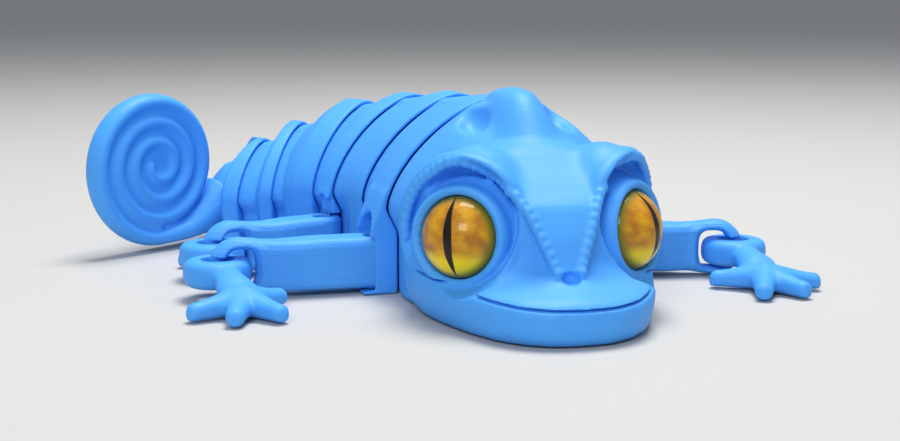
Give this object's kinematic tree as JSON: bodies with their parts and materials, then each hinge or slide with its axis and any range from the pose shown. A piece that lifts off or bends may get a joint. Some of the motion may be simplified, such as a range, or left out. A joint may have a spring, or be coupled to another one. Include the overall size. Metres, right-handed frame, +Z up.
{
  "type": "articulated chameleon toy",
  "caption": "Flexible printed plastic chameleon toy lying on its belly, with hooded body links that swivel, ring-jointed legs, a coiled tail and domed glass eyes",
  "frame": {"origin": "on the flat belly face under the middle of the chest, at table height", "axes": "+Z up from the table, -Y the way the chest faces, +X the toy's left"},
  "size_m": [0.1479, 0.1533, 0.045],
  "materials": {
    "blue_plastic": "sky-blue printed plastic with fine layer lines and a soft sheen",
    "eye_glass": "clear domed glass over an amber iris with an upright slit pupil"
  },
  "bodies": {
    "chest": {"chest": "blue_plastic"},
    "head": {"head": "blue_plastic", "eye_left": "eye_glass", "eye_right": "eye_glass"},
    "trunk_2": {"trunk_2": "blue_plastic"},
    "hip": {"hip": "blue_plastic"},
    "tail_base_1": {"tail_base_1": "blue_plastic"},
    "tail_base_2": {"tail_base_2": "blue_plastic"},
    "tail_base_3": {"tail_base_3": "blue_plastic"},
    "tail_coil": {"tail_coil": "blue_plastic"},
    "front_right_leg": {"front_right_leg": "blue_plastic"},
    "front_right_foot": {"front_right_foot": "blue_plastic"},
    "front_left_leg": {"front_left_leg": "blue_plastic"},
    "front_left_foot": {"front_left_foot": "blue_plastic"},
    "hind_right_leg": {"hind_right_leg": "blue_plastic"},
    "hind_right_foot": {"hind_right_foot": "blue_plastic"},
    "hind_left_leg": {"hind_left_leg": "blue_plastic"},
    "hind_left_foot": {"hind_left_foot": "blue_plastic"}
  },
  "joints": [
    {"name": "neck_turn", "type": "hinge", "parent": "chest", "child": "head", "pos_m": [0, -0.011, 0], "axis": [0, 0, 1], "range_deg": [-6, 6]},
    {"name": "trunk_turn_1", "type": "hinge", "parent": "chest", "child": "trunk_2", "pos_m": [0, 0.0098, 0], "axis": [0, 0, 1], "range_deg": [-6, 2]},
    {"name": "trunk_turn_2", "type": "hinge", "parent": "trunk_2", "child": "hip", "pos_m": [-0.00293, 0.02989, 0], "axis": [0, 0, 1], "range_deg": [-6, 2]},
    {"name": "trunk_turn_3", "type": "hinge", "parent": "hip", "child": "tail_base_1", "pos_m": [-0.00849, 0.04743, 0], "axis": [0, 0, 1], "range_deg": [-8, 2]},
    {"name": "tail_turn_1", "type": "hinge", "parent": "tail_base_1", "child": "tail_base_2", "pos_m": [-0.02081, 0.06419, 0], "axis": [0, 0, 1], "range_deg": [-7, 2]},
    {"name": "tail_turn_2", "type": "hinge", "parent": "tail_base_2", "child": "tail_base_3", "pos_m": [-0.0302, 0.07166, 0], "axis": [0, 0, 1], "range_deg": [-6, 6]},
    {"name": "coil_turn", "type": "hinge", "parent": "tail_base_3", "child": "tail_coil", "pos_m": [-0.04084, 0.08075, 0], "axis": [0, 0, 1], "range_deg": [-8, 6]},
    {"name": "front_right_leg_swing", "type": "hinge", "parent": "chest", "child": "front_right_leg", "pos_m": [-0.0264, 0.0022, 0], "axis": [0, 0, 1], "range_deg": [-3, 8]},
    {"name": "front_right_foot_turn", "type": "hinge", "parent": "front_right_leg", "child": "front_right_foot", "pos_m": [-0.06047, 0.00518, 0], "axis": [0, 0, 1], "range_deg": [-12, 2]},
    {"name": "front_left_leg_swing", "type": "hinge", "parent": "chest", "child": "front_left_leg", "pos_m": [0.0264, 0.0022, 0], "axis": [0, 0, 1], "range_deg": [-8, 6]},
    {"name": "front_left_foot_turn", "type": "hinge", "parent": "front_left_leg", "child": "front_left_foot", "pos_m": [0.05663, -0.01001, 0], "axis": [0, 0, 1], "range_deg": [-12, 12]},
    {"name": "hind_right_leg_swing", "type": "hinge", "parent": "hip", "child": "hind_right_leg", "pos_m": [-0.03023, 0.03193, 0], "axis": [0, 0, 1], "range_deg": [-4, 3]},
    {"name": "hind_right_foot_turn", "type": "hinge", "parent": "hind_right_leg", "child": "hind_right_foot", "pos_m": [-0.05765, 0.0263, 0], "axis": [0, 0, 1], "range_deg": [-2, 10]},
    {"name": "hind_left_leg_swing", "type": "hinge", "parent": "hip", "child": "hind_left_leg", "pos_m": [0.0182, 0.04729, 0], "axis": [0, 0, 1], "range_deg": [-4, 4]},
    {"name": "hind_left_foot_turn", "type": "hinge", "parent": "hind_left_leg", "child": "hind_left_foot", "pos_m": [0.04385, 0.0585, 0], "axis": [0, 0, 1], "range_deg": [-10, 2]}
  ]
}
